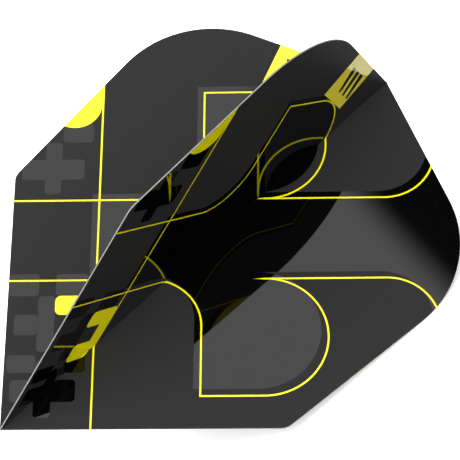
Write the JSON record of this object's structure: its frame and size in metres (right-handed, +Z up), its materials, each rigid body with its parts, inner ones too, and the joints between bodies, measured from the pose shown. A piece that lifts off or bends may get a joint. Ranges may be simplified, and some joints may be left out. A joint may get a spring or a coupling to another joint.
{
  "type": "dart flight",
  "caption": "Folded standard-shape dart flight: printed glossy film wings at right angles round one spine, creased so that they fold flat and spring back.",
  "frame": {"origin": "nose end of the spine, on the line where the four wings meet, where a stem takes hold", "axes": "+X along the spine from the nose to the tail, +Z up, with the four wings leaning at 45 degrees to it"},
  "size_m": [0.0458, 0.0256, 0.0256],
  "materials": {
    "printed_film": "glossy black film with grey and yellow print, spot gloss over a satin ground",
    "bond": "thin pale bond, seen only at the cut edges"
  },
  "bodies": {
    "spine": {"bond_core": "bond", "top_film_crease": "printed_film", "right_film_crease": "printed_film", "bottom_film_crease": "printed_film", "left_film_crease": "printed_film"},
    "upper_left_wing": {"top_film_on_upper_left_wing": "printed_film", "left_film_on_upper_left_wing": "printed_film", "bond_in_upper_left_wing": "bond"},
    "upper_right_wing": {"right_film_on_upper_right_wing": "printed_film", "top_film_on_upper_right_wing": "printed_film", "bond_in_upper_right_wing": "bond"},
    "lower_right_wing": {"bottom_film_on_lower_right_wing": "printed_film", "right_film_on_lower_right_wing": "printed_film", "bond_in_lower_right_wing": "bond"},
    "lower_left_wing": {"left_film_on_lower_left_wing": "printed_film", "bottom_film_on_lower_left_wing": "printed_film", "bond_in_lower_left_wing": "bond"}
  },
  "joints": [
    {"name": "upper_left_wing_fold", "type": "hinge", "parent": "spine", "child": "upper_left_wing", "pos_m": [0.023, 0.00009, 0.00009], "axis": [1, 0, 0], "range_deg": [-44, 44], "stiffness_Nm_per_rad": 0.006, "deforming": ["top_film_crease", "left_film_crease"]},
    {"name": "upper_right_wing_fold", "type": "hinge", "parent": "spine", "child": "upper_right_wing", "pos_m": [0.023, -0.00009, 0.00009], "axis": [-1, 0, 0], "range_deg": [-44, 44], "stiffness_Nm_per_rad": 0.006, "deforming": ["right_film_crease", "top_film_crease"]},
    {"name": "lower_right_wing_fold", "type": "hinge", "parent": "spine", "child": "lower_right_wing", "pos_m": [0.023, -0.00009, -0.00009], "axis": [1, 0, 0], "range_deg": [-44, 44], "stiffness_Nm_per_rad": 0.006, "deforming": ["bottom_film_crease", "right_film_crease"]},
    {"name": "lower_left_wing_fold", "type": "hinge", "parent": "spine", "child": "lower_left_wing", "pos_m": [0.023, 0.00009, -0.00009], "axis": [-1, 0, 0], "range_deg": [-44, 44], "stiffness_Nm_per_rad": 0.006, "deforming": ["left_film_crease", "bottom_film_crease"]}
  ]
}
